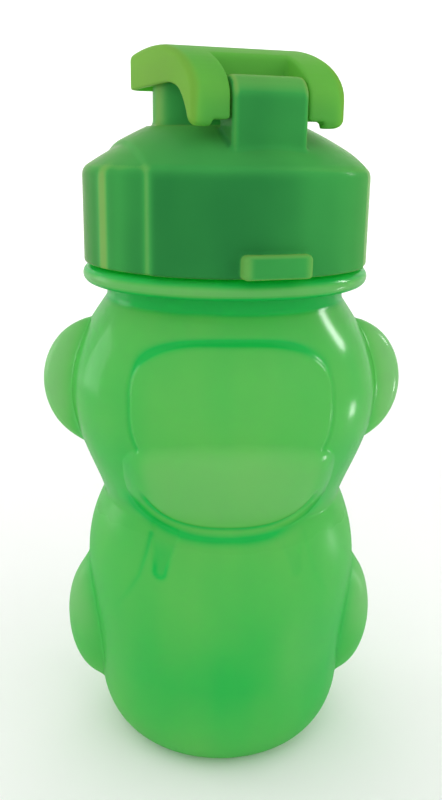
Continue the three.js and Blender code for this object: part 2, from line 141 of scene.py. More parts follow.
def line_distance(x, z, points):
    """Distance to a chain of straight lines, and how far along it the nearest place is, from 0 to 1."""
    nearest = np.full(x.shape, 1e9)
    along = np.zeros(x.shape)
    for i, (start, end) in enumerate(zip(points[:-1], points[1:])):
        d = np.subtract(end, start)
        t = np.clip(((x - start[0]) * d[0] + (z - start[1]) * d[1]) / (d @ d), 0, 1)
        gap = np.hypot(x - start[0] - t * d[0], z - start[1] - t * d[1])
        along = np.where(gap < nearest, (i + t) / (len(points) - 1), along)
        nearest = np.minimum(nearest, gap)
    return nearest, along


def panel_share(x, z, middle, half_width, below, above, squareness):
    """0 in the middle of a squared oval on the front and 1 at its rim."""
    height = np.where(z < middle, below, above)
    sideways = (np.abs(x) / half_width) ** squareness
    upright = (np.abs(z - middle) / height) ** squareness
    return (sideways + upright) ** (1 / squareness)


def front_relief(x, z):
    """Height of the face panel, muzzle and chest folds over the plain figure, and the painted shade in
    their creases, along the smile and under the muzzle's rim, less painted light over the muzzle. The
    spans turn shares of a panel into millimetres from its rim."""
    face = (panel_share(x, z, FACE_HEIGHT, FACE_HALF, FACE_BELOW, FACE_ABOVE, 2.9) - 1) * FACE_SPAN
    panel = FACE_RISE * ramp(-face, -0.9, 0.9)
    face_crease = FACE_CREASE * np.exp(-((face / (0.35 + 0.5 * ramp(z, 98, 104))) ** 2)) * ramp(z, 73, 76)

    squareness = np.where(z < MUZZLE_HEIGHT, 2.9, 2.2)
    share = panel_share(x, z, MUZZLE_HEIGHT, MUZZLE_HALF, MUZZLE_BELOW, MUZZLE_ABOVE, squareness)
    dome = np.clip(1 - share**3, 0, 1)
    smile = SMILE_DEPTH * np.exp(-(((share - 0.81) * MUZZLE_SPAN / 0.5) ** 2)) * ramp(-z, -73, -69)

    dent, _ = line_distance(np.abs(x), z, DENT)
    half = 1.3 + 1.7 * ramp(z, 53, 62)
    in_dent = ramp(half - dent, -0.4, 0.7) * np.where(x < 0, 1, 0.3)
    dent_end = np.exp(-(((dent - half) / 0.5) ** 2)) * ramp(-z, -58, -53.5) * (x < 0)
    fold, along = line_distance(np.abs(x), z, FOLD)
    arm_crease = 0.3 * np.exp(-((fold / 0.55) ** 2)) * (1 - along) * np.where(x < 0, 1, 0.15)

    hidden = ramp(share, 0.93, 1.0)
    depth = (face_crease + 0.4 * in_dent + arm_crease) * hidden + smile
    # Painted shade: the face outline's crease is darker, most along its top and least on its right side,
    # and so are the dent and the arm folds, more on the left than the right.
    face_crease_shade = face_crease * (0.32 + 0.68 * ramp(z, 97, 102)) * (1 - 0.6 * ramp(x, 12, 19))
    dent_shade = 0.16 * in_dent * ramp(-z, -62, -57) + 0.25 * dent_end
    deeper = (face_crease_shade + dent_shade + 0.8 * arm_crease) * hidden
    # Painted shade along the muzzle's smile line, fainter to the right.
    smile_shade = 0.7 * smile * (1 - 0.6 * ramp(x, 8, 15))
    # Painted shadow along the muzzle's lower rim, fainter to the right.
    rim = 0.42 * np.exp(-(((share - 0.985) * MUZZLE_SPAN / 1.2) ** 2)) * ramp(-z, -71, -65)
    rim = rim * (1 - 0.75 * ramp(x, 8, 17))
    relief = panel * hidden + np.maximum(MUZZLE_RISE * dome, panel * (1 - hidden)) - depth
    # Painted light makes the whole muzzle dome paler.
    return relief, deeper + smile_shade + rim - 0.09 * dome


def thread_height(angle, z, start, depth):
    """Height of a right-handed screw ridge at an angle round the axis and a height."""
    turn = np.mod(angle / (2 * math.pi), 1)
    height = np.zeros(np.broadcast(angle, z).shape)
    for whole in range(2):
        turns = turn + whole
        flank = np.clip((THREAD_HALF - np.abs(z - start - THREAD_PITCH * turns)) / THREAD_FLANK, 0, 1)
        ends = np.clip(np.minimum(turns, THREAD_TURNS - turns) / THREAD_RUNOUT, 0, 1)
        height = np.maximum(height, depth * flank * ends)
    return height


def columns():
    """Angles from the front of the figure, closer together over the face and the seams."""
    turn = np.linspace(-180, 180, 7201)
    side = np.abs(np.abs(turn) - 90)
    step = np.interp(np.abs(turn), [0, 44, 56, 70, 110, 125, 180], [0.55, 0.55, 0.9, 0.7, 0.7, 2, 2.2])
    step = np.minimum(step, np.interp(side, [0, 2.5, 5, 20], [0.22, 0.22, 0.5, 0.8]))
    passed = np.cumsum(1 / step)
    count = int(passed[-1] * (turn[1] - turn[0]))
    return np.radians(np.interp(np.linspace(passed[0], passed[-1], count, endpoint=False), passed, turn))


def figure_points(profile, inset):
    """Points of one skin of the bottle: a turned profile pushed out by ears, arms, face and thread.
    With each comes how much deeper or paler its colour is: paler where the plastic is drawn out over the
    ears and arms, with painted shade and painted light on the face, neck, sides of the head, belly and
    bead."""
    turn = columns()[None, :]
    r, z = profile[:, 0, None], profile[:, 1, None]
    across, ahead = np.sin(turn), np.cos(turn)
    ear = egg_reach(across, ahead, z, EAR, np.array(EAR_HALF) - inset)
    arm = egg_reach(across, ahead, z, ARM, np.array(ARM_HALF) - inset)
    on_head = (z > 70) & (z < 111)
    on_body = (z > 3) & (z < 56) & (r > 20)
    with_arm = np.where(on_body, smooth_max(r, arm, ARM_FILLET), r)
    out = np.where(on_head, smooth_max(r, ear, EAR_FILLET), with_arm)
    relief, depth = front_relief(r * across, z)
    on_front = (ahead > 0.3) & (z > 36) & (z < 110)
    relief = np.where(on_front, relief * ramp(ahead, 0.3, 0.5), 0)
    # Painted shade in the neck's hollow below the bead, and a painted shadow of the cap on the bead's
    # upper side.
    groove_shade = 0.4 * ramp(z, COLLAR[1] - 1.2, COLLAR[1] + 0.4) * ramp(-z, -BEAD[1] + 0.8, -BEAD[1] + 1.6)
    shade = 0.32 * ramp(z, BEAD[1] + 0.4, BEAD[1] + 1.3)
    # Painted shade on the lower sides of the head.
    jaw_shade = 0.1 * ramp(z, 63, 67) * ramp(-z, -88, -77) * ramp(np.abs(across), 0.45, 0.65)
    swelling = np.where(on_head, ear, np.where(on_body, arm, 0)) - r
    # Ears and arms turn paler where the plastic is drawn out over them. The paleness reaching into the
    # hollows at their roots is painted light against the shade there, and the pale band on the bead's
    # outer face is a painted highlight.
    drawn = np.where(on_head, 0.19, 0.03 + 0.13 * ramp(z, 20, 36)) * ramp(swelling, -2.5, 5)
    drawn = drawn + 0.06 * ramp(r, 30.5, 32) * (np.abs(z - BEAD[1]) < BEAD_HALF)
    # Painted shade: a darker patch low on the belly, left of the middle, and a slightly paler patch of
    # painted light to the right.
    belly_shading = 0.12 * np.exp(-(((r * across + 9) / 11) ** 2) - ((z - 24) / 13) ** 2)
    belly_shading = belly_shading - 0.03 * np.exp(-(((r * across - 18) / 8) ** 2) - ((z - 32) / 12) ** 2)
    depth = np.where(on_front, depth, 0) + groove_shade + shade + jaw_shade + belly_shading - drawn
    outer = inset == 0
    on_skin = (z > 0.01) & (z < 112) & (r > 21)
    seam = SEAM_HEIGHT * np.exp(-((r * ahead / SEAM_HALF) ** 2)) * on_skin * outer
    thread = thread_height(turn - math.pi / 2, z, NECK_THREAD_START, THREAD_DEPTH) * (z > 120) * outer
    out = out + thread + relief + seam
    points = np.stack([out * across, -out * ahead, np.broadcast_to(z, out.shape)], axis=-1)
    return points, depth


def outer_spacing(point):
    """Distance between the rows of points on the outer skin, closest over the face and the neck."""
    r, z = point
    if r < 20 and z < 3:
        return 1.4
    heights = [0, 12, 44, 58, 106, 110, 120, 122, 137]
    return np.interp(z, heights, [0.8, 1.0, 0.8, 0.36, 0.36, 0.45, 0.45, 0.5, 0.4])


hip_to_belly = curve([HIP, (31.2, 24.3), (33.3, 36.3), BELLY])
belly_to_waist = curve([BELLY, (33.3, 54.3), (30.4, 61.1), WAIST])
waist_to_head = curve([WAIST, (29.2, 68), (36.4, 78.8), HEAD])
outside = np.vstack(
    [
        curve([(0, BASE_RISE), (8, BASE_RISE), (13, 0), (17, 0)]),
        [(FOOT_RADIUS, 0)],
        curve([(FOOT_RADIUS, 0), (25, 0), (30.2, 5.3), HIP]),
        hip_to_belly,
        belly_to_waist,
        waist_to_head,
        curve([HEAD, (36.4, 99.5), (30.7, 106.2), COLLAR]),
        [(NECK_RADIUS, BEAD[1] - BEAD_HALF)],
        arc((BEAD[0] - BEAD_HALF, BEAD[1]), BEAD_HALF, -90, 90),
        [(NECK_RADIUS, BEAD[1] + BEAD_HALF), (NECK_RADIUS, NECK_TOP)],
        [(NECK_BORE, NECK_TOP), (NECK_BORE, NECK_TOP - 2)],
    ]
)
inside = np.vstack(
    [
        [(NECK_BORE, NECK_TOP - 2), (NECK_BORE, 112)],
        curve([HEAD, (36.4, 99.5), (30.4, 106.2), (27.2, 111.2)])[::-1] - (WALL, 0),
        waist_to_head[::-1] - (WALL, 0),
        belly_to_waist[::-1] - (WALL, 0),
        hip_to_belly[::-1] - (WALL, 0),
        curve([(FOOT_RADIUS, WALL), (25, WALL), (30.2, 6.3), HIP])[::-1] - (WALL, 0),
        curve([(0, 3.3), (8, 3.3), (13, WALL), (17, WALL)])[::-1],
    ]
)
outer_points, outer_depth = figure_points(softened(outside, 0.7, outer_spacing), 0)
inner_points, inner_depth = figure_points(softened(inside, 1.2, lambda point: 1.5), WALL)


def turned_faces(rows, around):
    """Quads between neighbouring rows of a closed turned shape, as corner numbers."""
    row, column = np.meshgrid(np.arange(rows - 1), np.arange(around), indexing="ij")
    here, beside = row * around + column, row * around + (column + 1) % around
    return np.stack([here, beside, beside + around, here + around], axis=-1).reshape(-1, 4)


def make_piece(name, points, faces, turn=0.0, thickness_and_shading=0.0):
    """A smooth mesh object from points in millimetres, turned about the bottle's axis. At each point,
    the given value notes how much deeper or paler the finish is there, for thicker or thinner plastic and
    for painted shade and painted light."""
    c, s = math.cos(turn), math.sin(turn)
    placed = points @ np.array([[c, s, 0], [-s, c, 0], [0, 0, 1]]) * MM
    mesh = bpy.data.meshes.new(name)
    mesh.from_pydata(placed.tolist(), [], faces.tolist())
    noted = mesh.attributes.new("thickness_and_shading", "FLOAT", "POINT")
    noted.data.foreach_set("value", np.broadcast_to(thickness_and_shading, len(points)).astype(np.float32))
    shape = bmesh.new()
    shape.from_mesh(mesh)
    bmesh.ops.remove_doubles(shape, verts=shape.verts, dist=1e-6)
    shape.to_mesh(mesh)
    shape.free()
    mesh.shade_smooth()
    piece = bpy.data.objects.new(name, mesh)
    bpy.context.scene.collection.objects.link(piece)
    return piece


class Wire:
    """An output of a material's node tree. Sums on it in Python add Math nodes to the tree."""

    def __init__(self, tree, socket=None):
        self.tree = tree
        self.socket = socket

    def node(self, kind, settings=None, inputs=None, output=0):
        """A new node: its type, its settings, then the values or wires of its sockets."""
        node = self.tree.nodes.new("ShaderNode" + kind)
        for name, value in (settings or {}).items():
            setattr(node, name, value)
        for name, value in (inputs or {}).items():
            if isinstance(value, Wire):
                self.tree.links.new(value.socket, node.inputs[name])
            else:
                node.inputs[name].default_value = value
        return Wire(self.tree, node.outputs[output] if node.outputs else None)

    def math(self, operation, *values):
        """A Math node that works on numbers or wires."""
        return self.node("Math", {"operation": operation}, dict(enumerate(values)))

    def __add__(self, other):
        return self.math("ADD", self, other)

    def __sub__(self, other):
        return self.math("SUBTRACT", self, other)

    def __rsub__(self, other):
        return self.math("SUBTRACT", other, self)

    def __mul__(self, other):
        return self.math("MULTIPLY", self, other)

    __radd__ = __add__
    __rmul__ = __mul__

    def between(self, low, high):
        """This value spread from low..high to 0..1, and held there outside it."""
        return self.node("MapRange", {"clamp": True}, {0: self, 1: low, 2: high, 3: 0.0, 4: 1.0})

    def blend(self, first, second):
        """The first colour where this value is 0, and the second where it is 1."""
        return self.node("Mix", {"data_type": "RGBA"}, {0: self, 6: first, 7: second}, 2)


def noise(wires, place, scale, detail=2.0, stretch=(1, 1, 1)):
    """Cloudy values from 0 to 1, with scale clouds to the metre, drawn out by stretch."""
    drawn = wires.node("Mapping", {}, {"Vector": place, "Scale": stretch})
    return wires.node("TexNoise", {}, {"Vector": drawn, "Scale": scale, "Detail": detail})


def new_finish(name):
    """An empty material, its node tree and the place of each point on the piece."""
    material = bpy.data.materials.new(name)
    material.use_nodes = True
    material.node_tree.nodes.clear()
    wires = Wire(material.node_tree)
    return material, wires, wires.node("TexCoord", {}, {}, "Object")


def moulded_plastic(name, pale, deep_and_shaded, thin_and_lit, lit, gloss, shine, glow, edge=0.0, lower_shade=0.0, worn=0.0):
    """Glossy tinted plastic. Its colour goes deeper where the plastic is thicker and where shade is
    painted, and paler where it is drawn out and where light is painted; below the waist a further painted
    shade, set per material, deepens it most over the lower belly. The share glow of its light comes
    through the plastic, in the colour lit. Seen at a grazing angle it turns yellower by edge. Below the
    waist, where hands grip it, it is duller by worn."""
    material, wires, place = new_finish(name)
    clouds = noise(wires, place, 30, 2)
    flow = noise(wires, place, 55, 2, (1, 1, 0.2))
    wall_and_shading = wires.node("Attribute", {"attribute_name": "thickness_and_shading"}, {}, "Fac")
    height = wires.node("SeparateXYZ", {}, {0: place}, "Z")
    low = height.between(0.06, 0.034) * (1 - 0.6 * height.between(0.024, 0.008))
    # Deeper where the plastic is thicker and where shade is painted, with more painted shade low on the
    # belly.
    thickness_and_shading = 2.2 * wall_and_shading + lower_shade * low
    tint = (0.65 * (clouds + flow) - 0.35 + thickness_and_shading).between(0.0, 1.0)
    # Paler where the plastic is drawn out and where light is painted.
    drawn = wall_and_shading.between(0.0, -0.2)
    handling = noise(wires, place, 90, 4).between(0.4, 0.8)
    rough = gloss + 0.04 * clouds + 0.05 * handling + worn * height.between(0.066, 0.056)
    ripple = noise(wires, place, 65, 1)
    bump = wires.node("Bump", {}, {"Strength": 0.1, "Distance": 0.0006, "Height": ripple})
    surface = wires.node(
        "BsdfPrincipled",
        {},
        {
            "Base Color": drawn.blend(tint.blend(pale, deep_and_shaded), thin_and_lit),
            "Roughness": rough,
            "IOR": 1.5,
            "Specular IOR Level": shine,
            "Normal": bump,
            "Sheen Weight": edge,
            "Sheen Roughness": 0.4,
            "Sheen Tint": (0.75, 0.70, 0.12, 1),
        },
    )
    colour_through = drawn.blend(tint.blend(lit, deep_and_shaded), thin_and_lit)
    through = wires.node("BsdfTranslucent", {}, {"Color": colour_through, "Normal": bump})
    both = wires.node("MixShader", {}, {0: glow, 1: surface, 2: through})
    wires.node("OutputMaterial", {}, {"Surface": both})
    return material


points = np.concatenate([outer_points, inner_points])
rows, around = points.shape[:2]
depth = np.concatenate([outer_depth, inner_depth]).ravel()
bottle = make_piece("bottle_body_moulding", points.reshape(-1, 3), turned_faces(rows, around), thickness_and_shading=depth)
bottle.data.materials.append(
    moulded_plastic(
        "bottle_polyethylene",
        pale=(0.285, 0.76, 0.205, 1),
        deep_and_shaded=(0.028, 0.73, 0.16, 1),
        thin_and_lit=(0.385, 0.77, 0.345, 1),
        lit=(0.31, 0.81, 0.225, 1),
        gloss=0.13,
        shine=0.25,
        glow=0.6,
        lower_shade=0.32,
        worn=0.17,
    )
)
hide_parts("bottle_body")
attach(bottle, "bottle")

# Gasket: a flat white silicone washer, cut from a moulded tube and pressed up into the cap.
# It seals the bottle's rim when the cap is screwed down.
GASKET_BOTTOM = 136.25
GASKET_THICKNESS = 2
GASKET_BORE = 24.4
GASKET_EDGE = 0.5


def turned_ring(path, around=160):
    """Points and quads of a ring that a closed path of (radius, height) sweeps about the axis."""
    turn = np.linspace(0, 2 * math.pi, around, endpoint=False)
    r, z = path[:, 0, None], path[:, 1, None]
    heights = np.broadcast_to(z, (len(path), around))
    points = np.stack([r * np.cos(turn), r * np.sin(turn), heights], axis=-1)
    return points.reshape(-1, 3), turned_faces(len(path), around)


def rounded_section(inner, outer, bottom, top, edge):
    """A closed rectangle of (radius, height) with round corners."""
    return np.vstack(
        [
            arc((outer - edge, bottom + edge), edge, -90, 0, 6),
            arc((outer - edge, top - edge), edge, 0, 90, 6),
            arc((inner + edge, top - edge), edge, 90, 180, 6),
            arc((inner + edge, bottom + edge), edge, 180, 270, 6),
            [(outer - edge, bottom)],
        ]
    )


def silicone_finish(name):
    """Soft white silicone with a faint cast and a matt skin that holds a little dust."""
    material, wires, place = new_finish(name)
    clouds = noise(wires, place, 120, 3)
    dust = noise(wires, place, 900, 3).between(0.55, 0.75)
    colour = clouds.blend((0.80, 0.83, 0.79, 1), (0.70, 0.75, 0.70, 1))
    grain = noise(wires, place, 1500, 2)
    bump = wires.node("Bump", {}, {"Strength": 0.1, "Distance": 0.0002, "Height": grain})
    surface = wires.node(
        "BsdfPrincipled",
        {"subsurface_method": "RANDOM_WALK"},
        {
            "Base Color": colour,
            "Roughness": 0.5 + 0.15 * dust,
            "IOR": 1.43,
            "Normal": bump,
            "Subsurface Weight": 0.6,
            "Subsurface Radius": (1.0, 1.0, 1.0),
            "Subsurface Scale": 0.002,
        },
    )
    wires.node("OutputMaterial", {}, {"Surface": surface})
    return material


silicone = silicone_finish("white_silicone")
gasket_top = GASKET_BOTTOM + GASKET_THICKNESS
section = rounded_section(GASKET_BORE, NECK_RADIUS, GASKET_BOTTOM, gasket_top, GASKET_EDGE)
gasket = make_piece("cap_gasket_washer", *turned_ring(section))
gasket.data.materials.append(silicone)
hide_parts("cap_gasket")
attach(gasket, "gasket")

# Screw cap: one injection-moulded piece in deeper green polypropylene, with round moulded edges.
# A raised band runs over it from front to back. The catch lug, hinge block and drinking spout
# stand on the band, and the screwed-down cap stops turned a little past the figure's front.
CAP_TURN = math.radians(16)
CAP_RADIUS = 33.2
CAP_BOTTOM = 119
CAP_RIM = 140
CAP_TOP = 148.5
CAP_TOP_RADIUS = 18
CAP_BORE = 29.9
CAP_SEAT = 138.4
SEAT_BORE = 24.25
CAP_CEILING = 146.1
CAP_THREAD_START = 123.6
GRIP_DEPTH = 0.75
BAND_HALF = 24.3
SPOUT_BACK = 9
SPOUT_RADIUS = 14.3
SPOUT_BORE = 12.5
SPOUT_TOP = 158.5
PIN_Y = -22
PIN_Z = 153.5
PIN_HOLE = 1.65
KNUCKLE_RADIUS = 4.5
BLOCK_HALF = 8
LUG = (-1.2, -32.7, 121.5)
LUG_HALF = (7.3, 3, 2.5)


def outline_distance(u, v, corners):
    """Signed distance to a closed outline with straight sides, negative inside it."""
    nearest = np.full(u.shape, 1e9)
    inside = np.zeros(u.shape, bool)
    for (u0, v0), (u1, v1) in zip(corners, np.roll(corners, -1, axis=0)):
        du, dv = u1 - u0, v1 - v0
        t = np.clip(((u - u0) * du + (v - v0) * dv) / max(du * du + dv * dv, 1e-12), 0, 1)
        nearest = np.minimum(nearest, (u - u0 - t * du) ** 2 + (v - v0 - t * dv) ** 2)
        if dv != 0:
            crosses = (v0 <= v) != (v1 <= v)
            inside ^= crosses & (u < u0 + (v - v0) * du / dv)
    return np.where(inside, -1, 1) * np.sqrt(nearest)


def merge(a, b, reach):
    """Two solids as one, with a fillet of about reach where they meet."""
    return -smooth_max(-a, -b, reach)


def overlap(a, b, reach):
    """What two solids share, with its edges rounded over about reach."""
    return smooth_max(a, b, reach)


def carve(a, b, reach):
    """The first solid without the second, with the cut's edges rounded over about reach."""
    return smooth_max(a, -b, reach)


def rounded_block(p, middle, half, edge):
    """Signed distance to a box with round edges."""
    q = np.abs(p - np.array(middle, float)) - np.array(half, float) + edge
    outside = np.sqrt((np.maximum(q, 0) ** 2).sum(axis=-1))
    return outside + np.minimum(q.max(axis=-1), 0) - edge


def skin(field, low, high, step):
    """Points and quads of the surface where a solid's signed distance is zero."""
    axes = [np.arange(a, b + step, step) for a, b in zip(low, high)]
    value = field(np.stack(np.meshgrid(*axes, indexing="ij"), axis=-1))

    def part(array, axis, shift):
        """The array without its last layer along an axis, or without its first where shift is 1."""
        index = [slice(None)] * 3
        index[axis] = slice(shift, array.shape[axis] - 1 + shift)
        return array[tuple(index)]

    cells = tuple(n - 1 for n in value.shape)
    total = np.zeros(cells + (3,))
    count = np.zeros(cells, int)
    crossings = []
    for a in range(3):
        b, c = (a + 1) % 3, (a + 2) % 3
        first, second = part(value, a, 0), part(value, a, 1)
        crossing = (first < 0) != (second < 0)
        share = np.where(crossing, first / np.where(crossing, first - second, 1), 0)
        crossings.append((crossing, first < 0))
        for shift_b in (0, 1):
            for shift_c in (0, 1):
                hit = part(part(crossing, b, shift_b), c, shift_c)
                total[..., a] += part(part(share, b, shift_b), c, shift_c)
                total[..., b] += hit * shift_b
                total[..., c] += hit * shift_c
                count += hit
    used = count > 0
    number = np.full(cells, -1)
    number[used] = np.arange(used.sum())
    points = np.array(low, float) + step * (np.argwhere(used) + total[used] / count[used, None])

    faces = []
    for a, (crossing, leaves) in enumerate(crossings):
        b, c = (a + 1) % 3, (a + 2) % 3
        inner = [slice(None)] * 3
        inner[b] = inner[c] = slice(1, -1)
        ring = [part(part(number, b, i), c, j) for i, j in ((0, 0), (1, 0), (1, 1), (0, 1))]
        here = crossing[tuple(inner)]
        outward = leaves[tuple(inner)][here]
        quads = np.stack([corner[here] for corner in ring], axis=-1)
        faces.append(np.where(outward[:, None], quads, quads[:, ::-1]))
    faces = np.concatenate(faces)

    nudge = 0.2 * step
    for _ in range(3):
        slope = np.stack(
            [(field(points + nudge * e) - field(points - nudge * e)) / (2 * nudge) for e in np.eye(3)],
            axis=-1,
        )
        move = field(points)[:, None] * slope / np.maximum((slope**2).sum(axis=-1, keepdims=True), 0.05)
        points = points - np.clip(move, -0.5 * step, 0.5 * step)
    return points, faces


cap_outline = np.vstack(
    [
        [(-5, 100), (CAP_RADIUS, 100), (CAP_RADIUS, CAP_RIM - 2)],
        curve([(CAP_RADIUS, CAP_RIM - 2), (CAP_RADIUS, CAP_RIM - 0.6), (32.5, 140.5), (31.2, 141.2)], 7),
        curve([(31.2, 141.2), (26.4, 144.3), (22, 146.7), (CAP_TOP_RADIUS, CAP_TOP)], 9),
        [(-5, CAP_TOP)],
    ]
)
cap_hollow = np.array(
    [
        (-5, 90),
        (CAP_BORE, 90),
        (CAP_BORE, CAP_SEAT),
        (SEAT_BORE, CAP_SEAT),
        (SEAT_BORE, 139.6),
        (16, CAP_CEILING),
        (-5, CAP_CEILING),
    ]
)


def cap_solid(p):
    """Signed distance to the cap, before it is turned on the neck."""
    x, y, z = np.moveaxis(p, -1, 0)
    out = np.hypot(x, y)
    full = outline_distance(out, z, cap_outline)
    band = overlap(full, np.abs(x) - BAND_HALF, 0.7)
    shell = merge(band, full + GRIP_DEPTH, 0.5)
    shell = merge(shell, rounded_block(p, LUG, LUG_HALF, 1.0), 0.6)
    shell = overlap(shell, CAP_BOTTOM - z, 0.7)
    knuckle = np.hypot(y - PIN_Y, np.maximum(z - PIN_Z, 0)) - KNUCKLE_RADIUS
    block = overlap(knuckle, np.abs(x) - BLOCK_HALF, 1.2)
    shell = merge(shell, overlap(block, 141 - z, 0.5), 0.7)
    from_spout = np.hypot(x, y - SPOUT_BACK)
    spout = overlap(overlap(from_spout - SPOUT_RADIUS, z - SPOUT_TOP, 1.6), 144 - z, 0.5)
    shell = merge(shell, spout, 1.8)
    ridge = thread_height(np.arctan2(y, x), z, CAP_THREAD_START, THREAD_DEPTH)
    hollow = outline_distance(out, z, cap_hollow) + ridge * (np.abs(out - CAP_BORE) < 2.5)
    shell = carve(shell, hollow, 0.5)
    shell = carve(shell, overlap(from_spout - SPOUT_BORE, CAP_RIM - z, 0.5), 1.0)
    return carve(shell, np.hypot(y - PIN_Y, z - PIN_Z) - PIN_HOLE, 0.3)


cap_points, cap_faces = skin(cap_solid, (-34.5, -37, 118), (34.5, 34.5, 159.5), 0.5)
x, y, z = cap_points.T
across, out = np.abs(x), np.hypot(x, y)
# Painted light and shade on the skirt: darker towards the left, painted reflections in upright stripes on
# the sides, strongest at the front left, painted highlights along the raised band's edges, and painted
# light on the recessed sides.
on_skirt = ramp(-z, -CAP_RIM - 1.5, -CAP_RIM + 2.5) * ramp(-out, -CAP_RADIUS - 1.2, -CAP_RADIUS - 0.2)
skirt_left_shade = 1 - 0.9 * ramp(x, -16, 26)
side = np.degrees(np.arctan2(across, np.abs(y)))
reflection_streaks = 1.5 * np.exp(-(((side - 72) / 3.2) ** 2)) + 0.4 * np.exp(-(((side - 62) / 5) ** 2))
reflection_streaks = reflection_streaks * np.where((x < 0) & (y < 0), 1, 0.4)
band_edge_highlight = np.exp(-(((across - BAND_HALF) / 0.7) ** 2))
skirt_shading = 0.2 * on_skirt * (skirt_left_shade - 1.3 * reflection_streaks - 1.1 * band_edge_highlight - 0.35 * ramp(side, 46, 50))
# Painted shade on the hinge block's front below the knuckle and on its sides, painted highlights along its
# front's upright edges, and painted light on its top.
on_block = ramp(-across, -BLOCK_HALF - 0.6, -BLOCK_HALF + 0.6) * ramp(z, 142, 146) * ramp(-y, 15, 18)
block_edge_highlight = np.exp(-(((across - BLOCK_HALF + 0.4) / 0.5) ** 2))
block_front_shade = on_block * (ramp(-z, -155, -153) - 1.6 * block_edge_highlight)
block_top_light = on_block * ramp(z, 154, 156.5)
block_side_shade = ramp(across, BLOCK_HALF - 0.5, BLOCK_HALF)
block_side_shade = block_side_shade * ramp(-across, -BLOCK_HALF - 1.2, -BLOCK_HALF - 0.2)
block_side_shade = block_side_shade * ramp(z, 141, 143) * ramp(-y, 15, 18) * ramp(y, -25.6, -24.6)
# Painted reflection: a pale upright stripe on the spout's left side.
on_spout = (np.hypot(x, y - SPOUT_BACK) > SPOUT_BORE + 0.9) * ramp(z, 147, 149)
round_spout = np.degrees(np.arctan2(-x, SPOUT_BACK - y))
spout_reflection = np.exp(-(((round_spout - 80) / 10) ** 2)) * on_spout
# Painted highlights on the catch lug's outline and along the cap's rim.
on_lug = ramp(out, CAP_RADIUS + 0.3, CAP_RADIUS + 1) * ramp(-z, -125, -124)
lug_edge = np.maximum(np.abs(x - LUG[0]) / LUG_HALF[0], np.abs(z - LUG[2]) / LUG_HALF[2])
rim_highlight = np.exp(-(((z - CAP_RIM) / 0.7) ** 2)) * (out > 31)
painted_highlights = 0.12 * on_lug * ramp(lug_edge, 0.7, 0.95) + 0.05 * rim_highlight + 0.17 * spout_reflection
# All the cap's marks are painted light and shade.
depth = skirt_shading + 0.1 * block_front_shade + 0.2 * block_side_shade - 0.08 * block_top_light - painted_highlights
cap = make_piece("screw_cap_moulding", cap_points, cap_faces, CAP_TURN, depth)
cap.data.materials.append(
    moulded_plastic(
        "cap_polypropylene",
        pale=(0.09, 0.60, 0.13, 1),
        deep_and_shaded=(0.02, 0.23, 0.058, 1),
        thin_and_lit=(0.26, 0.56, 0.13, 1),
        lit=(0.14, 0.60, 0.12, 1),
        gloss=0.13,
        shine=0.012,
        glow=0.4,
        edge=0.32,
    )
)
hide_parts("screw_cap")
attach(cap, "cap")

# Hinge pin: a plain moulded rod, pushed through the hinge block and the lid's two arms.
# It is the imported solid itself, and only its finish is made here.
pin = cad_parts["hinge_pin"]
pin.data.materials.clear()
pin.data.materials.append(
    moulded_plastic(
        "pin_plastic_rod",
        pale=(0.12, 0.44, 0.07, 1),
        deep_and_shaded=(0.05, 0.32, 0.05, 1),
        thin_and_lit=(0.18, 0.50, 0.08, 1),
        lit=(0.20, 0.50, 0.06, 1),
        gloss=0.3,
        shine=0.5,
        glow=0.2,
    )
)

# Flip lid: a hollow bar over the spout, moulded in a yellower green from the same plastic.
# It bends down in front to two arms that clip on the pin at the sides of the hinge block.
LID_HALF = 16.5
LID_BACK = 26.4
LID_BOTTOM = 157.1
LID_TOP = 164.9
LID_FRONT = -25.8
LID_CEILING = 162.5
LID_CORNER = 4
LID_TIP = 148
TIP_ROUND = 2.4
WINDOW_BACK = -13.6
LEGS_APART = 12
LEGS_TOP = 149.4
BOSS_RADIUS = 10.8
BOSS_MIDDLE = 161.8
BOSS_HALF = 1.7
STEM_HOLE = 3.15
LID_PIN_HOLE = 1.9
PIN_REACH = 13.55
lid_side = np.vstack(
    [
        curve([(LID_BACK, LID_BOTTOM), (25.8, 159.4), (25.5, 161.2), (25.5, 163.3)], 6),
        curve([(25.5, 163.3), (25.5, 164.4), (24.7, 165), (23, 165.17)], 5),
        curve([(23, 165.17), (13.7, 165.8), (5, 165.7), (-3, LID_TOP)], 8),
        curve([(-3, LID_TOP), (-12, 163.7), (LID_FRONT, 159.9), (LID_FRONT, PIN_Z)], 14),
        arc((LID_FRONT + 2, 150), 2, 180, 270, 7),
        curve([(-22.4, LID_TIP), (-20.6, 152), (-16, LID_BOTTOM), (-6, LID_BOTTOM)], 12),
    ]
)


